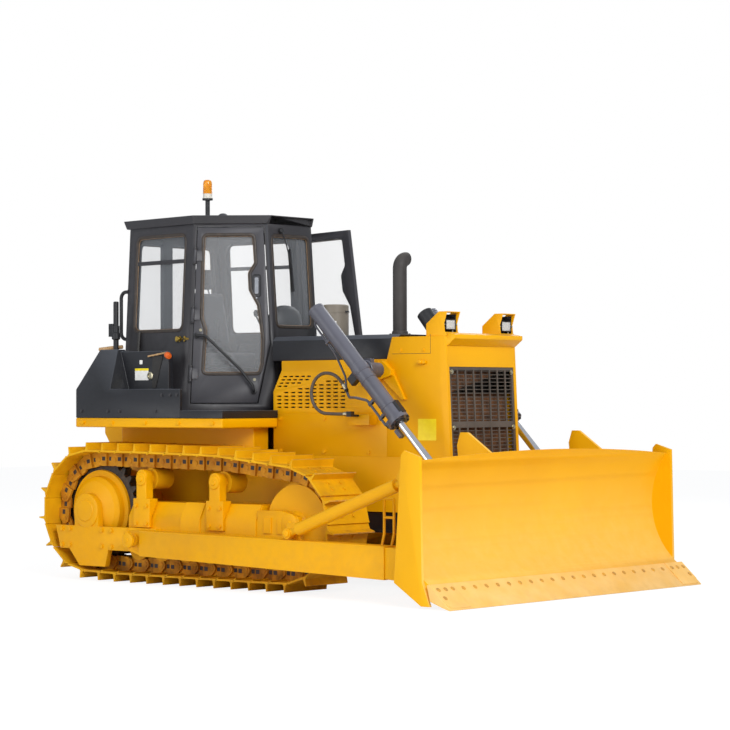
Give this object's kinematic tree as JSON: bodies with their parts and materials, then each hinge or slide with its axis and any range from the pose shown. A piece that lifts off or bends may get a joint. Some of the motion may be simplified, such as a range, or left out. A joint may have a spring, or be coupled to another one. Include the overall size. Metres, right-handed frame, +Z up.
{
  "type": "bulldozer",
  "caption": "Crawler bulldozer with a straight blade on outside push arms, two lift cylinders, six-sided cab with hinged doors, hood with perforated sides and long tracks.",
  "frame": {"origin": "on the ground at the middle of the machine's box", "axes": "+X forward to the blade, +Y to the machine's left, +Z up"},
  "size_m": [5.14, 3.388, 3.495],
  "materials": {
    "yellow_paint": "semi-gloss industrial enamel",
    "charcoal_paint": "satin powder coat",
    "track_steel": "enamel worn at the grousers",
    "worn_steel": "worn wear plate with paint left on it",
    "chrome_rod": "hard chrome",
    "black_rubber": "matte",
    "black_plastic": "matte",
    "seat_cloth": "woven",
    "window_glass": "clear",
    "lamp_glass": "clear lens",
    "amber_lens": "moulded lens",
    "black_steel": "black heat paint",
    "core_metal": "dusty fins"
  },
  "bodies": {
    "machine": {"air_cleaner": "charcoal_paint", "air_intake": "black_plastic", "battery_box": "charcoal_paint", "beacon": "amber_lens", "beacon_post": "black_plastic", "belly_guard": "black_steel", "cab_deck": "charcoal_paint", "cab_door_frames": "charcoal_paint", "cab_front_wall": "charcoal_paint", "cab_rear_wall": "charcoal_paint", "cab_roof": "charcoal_paint", "cab_side_walls": "charcoal_paint", "cab_windows": "window_glass", "carrier_brackets": "yellow_paint", "carrier_rollers": "track_steel", "console": "black_plastic", "drawbar": "yellow_paint", "engine_block": "black_steel", "engine_side_panels": "yellow_paint", "equalizer_bar": "yellow_paint", "exhaust_stack": "black_steel", "fenders": "yellow_paint", "final_drives": "yellow_paint", "fuel_tank": "yellow_paint", "grab_rails": "black_steel", "headlamps": "lamp_glass", "hood": "charcoal_paint", "hose_fittings": "black_steel", "hose_left": "black_rubber", "hose_right": "black_rubber", "hydraulic_tank": "charcoal_paint", "idlers": "yellow_paint", "lamp_housings": "yellow_paint", "lift_yokes": "yellow_paint", "louvre_panels": "yellow_paint", "main_frame": "yellow_paint", "radiator_core": "core_metal", "radiator_grille": "black_steel", "radiator_guard": "yellow_paint", "seat": "seat_cloth", "sprockets": "track_steel", "track_frame_left": "yellow_paint", "track_frame_right": "yellow_paint", "track_left": "track_steel", "track_right": "track_steel", "track_rollers": "track_steel"},
    "blade": {"moldboard": "yellow_paint", "cutting_edge": "worn_steel", "push_arms": "yellow_paint", "braces": "yellow_paint"},
    "lift_cylinder_right": {"lift_barrel_right": "charcoal_paint"},
    "lift_cylinder_left": {"lift_barrel_left": "charcoal_paint"},
    "lift_rods_right": {"lift_rod_right": "chrome_rod"},
    "lift_rods_left": {"lift_rod_left": "chrome_rod"},
    "right_door": {"door_right": "charcoal_paint", "door_glass_right": "window_glass"},
    "left_door": {"door_left": "charcoal_paint", "door_glass_left": "window_glass"}
  },
  "joints": [
    {"name": "blade_lift", "type": "hinge", "parent": "machine", "child": "blade", "pos_m": [-1.079, 0, 0.382], "axis": [0, -1, 0], "range_deg": [-8.5, 17]},
    {"name": "cylinder_right_swing", "type": "hinge", "parent": "machine", "child": "lift_cylinder_right", "pos_m": [0.899, -0.745, 1.8], "axis": [0, -1, 0], "range_deg": [-12.54, 24.78]},
    {"name": "rod_right_slide", "type": "slide", "parent": "lift_cylinder_right", "child": "lift_rods_right", "axis": [0.6973, 0, -0.7168], "range_m": [-0.6711, 0.3365]},
    {"name": "cylinder_left_swing", "type": "hinge", "parent": "machine", "child": "lift_cylinder_left", "pos_m": [0.899, 0.745, 1.8], "axis": [0, -1, 0], "range_deg": [-12.54, 24.78]},
    {"name": "rod_left_slide", "type": "slide", "parent": "lift_cylinder_left", "child": "lift_rods_left", "axis": [0.6973, 0, -0.7168], "range_m": [-0.6711, 0.3365]},
    {"name": "right_door_hinge", "type": "hinge", "parent": "machine", "child": "right_door", "pos_m": [-1.01134, -0.77885, 1.47071], "axis": [0, -0.0578, -0.9983], "range_deg": [0, 85]},
    {"name": "left_door_hinge", "type": "hinge", "parent": "machine", "child": "left_door", "pos_m": [-1.01134, 0.77885, 1.47071], "axis": [0, -0.0578, 0.9983], "range_deg": [-41, 44]}
  ],
  "couplings": [
    {"joint": "cylinder_right_swing", "follows": "blade_lift", "ratio": 1.44},
    {"joint": "rod_right_slide", "follows": "blade_lift", "m_per_rad": -2.255},
    {"joint": "cylinder_left_swing", "follows": "blade_lift", "ratio": 1.44},
    {"joint": "rod_left_slide", "follows": "blade_lift", "m_per_rad": -2.255}
  ]
}
